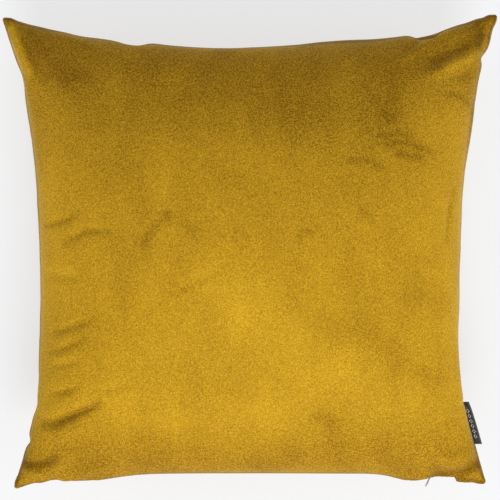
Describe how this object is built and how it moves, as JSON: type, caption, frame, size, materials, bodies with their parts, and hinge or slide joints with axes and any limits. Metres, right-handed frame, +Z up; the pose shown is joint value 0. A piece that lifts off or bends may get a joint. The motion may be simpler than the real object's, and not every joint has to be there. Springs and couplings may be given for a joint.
{
  "type": "throw pillow",
  "caption": "Square velvet throw pillow with knife edges and pointed corners, a removable cover with a concealed zip, and a separate fibre-filled inner cushion.",
  "frame": {"origin": "on the floor under the middle of the pillow's outline, with the pillow lying on its back panel", "axes": "+Z up from the back panel to the front panel; +X along the zip seam, to the right seen from above; +Y away from the zip seam"},
  "size_m": [0.442, 0.4234, 0.14],
  "materials": {
    "velvet": "matte",
    "sewing_thread": "satin",
    "woven_label": "matte",
    "care_ribbon": "satin",
    "zip_tape": "matte",
    "zip_nylon": "satin",
    "zip_metal": "satin",
    "case_cotton": "matte",
    "case_thread": "satin",
    "fibre": "matte"
  },
  "bodies": {
    "cover": {"cover_front_panel": "velvet", "cover_back_panel": "velvet", "overlock_thread": "sewing_thread", "side_label": "woven_label", "care_label": "care_ribbon", "zip_tape_front": "zip_tape", "zip_tape_back": "zip_tape", "zip_coil_front": "zip_nylon", "zip_coil_back": "zip_nylon", "zip_top_stop_front": "zip_nylon", "zip_top_stop_back": "zip_nylon", "zip_bottom_stop": "zip_nylon", "zip_thread_front": "sewing_thread", "zip_thread_back": "sewing_thread", "insert_case_front": "case_cotton", "insert_case_back": "case_cotton", "insert_closing_stitch": "case_thread", "fibre_filling": "fibre"},
    "slider": {"zip_slider_body": "zip_metal"},
    "pull_tab": {"zip_pull_tab": "zip_metal"}
  },
  "joints": [
    {"name": "zip_slide", "type": "slide", "parent": "cover", "child": "slider", "axis": [-1, 0, 0], "range_m": [0, 0.302]},
    {"name": "pull_tab_swing", "type": "hinge", "parent": "slider", "child": "pull_tab", "pos_m": [0.16315, -0.20131, 0.064], "axis": [0, 0, 1], "range_deg": [-62, 114]}
  ]
}
